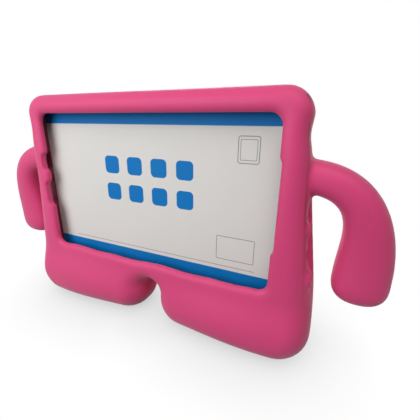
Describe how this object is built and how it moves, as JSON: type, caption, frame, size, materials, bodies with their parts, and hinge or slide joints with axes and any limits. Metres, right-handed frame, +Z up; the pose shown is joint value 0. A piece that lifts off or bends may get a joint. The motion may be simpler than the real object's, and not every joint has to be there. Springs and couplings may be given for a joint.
{
  "type": "kids tablet case",
  "caption": "Soft foam tablet case: a rounded frame round a recessed window, broad feet with an arch between them, and drooping side arms to carry it by.",
  "frame": {"origin": "on the floor, under the centre of the bounding box, between the soles", "axes": "+X to the right of a viewer who faces the window, +Y away from that viewer, +Z up; the face leans back 10 degrees"},
  "size_m": [0.34, 0.064, 0.1808],
  "materials": {
    "soft_foam": "matte pink moulded foam with a fine skin",
    "printed_card": "semi-matte white card with blue bands and a plain blue print"
  },
  "bodies": {
    "root": {"foam_case": "soft_foam", "insert_card": "printed_card"}
  },
  "joints": []
}
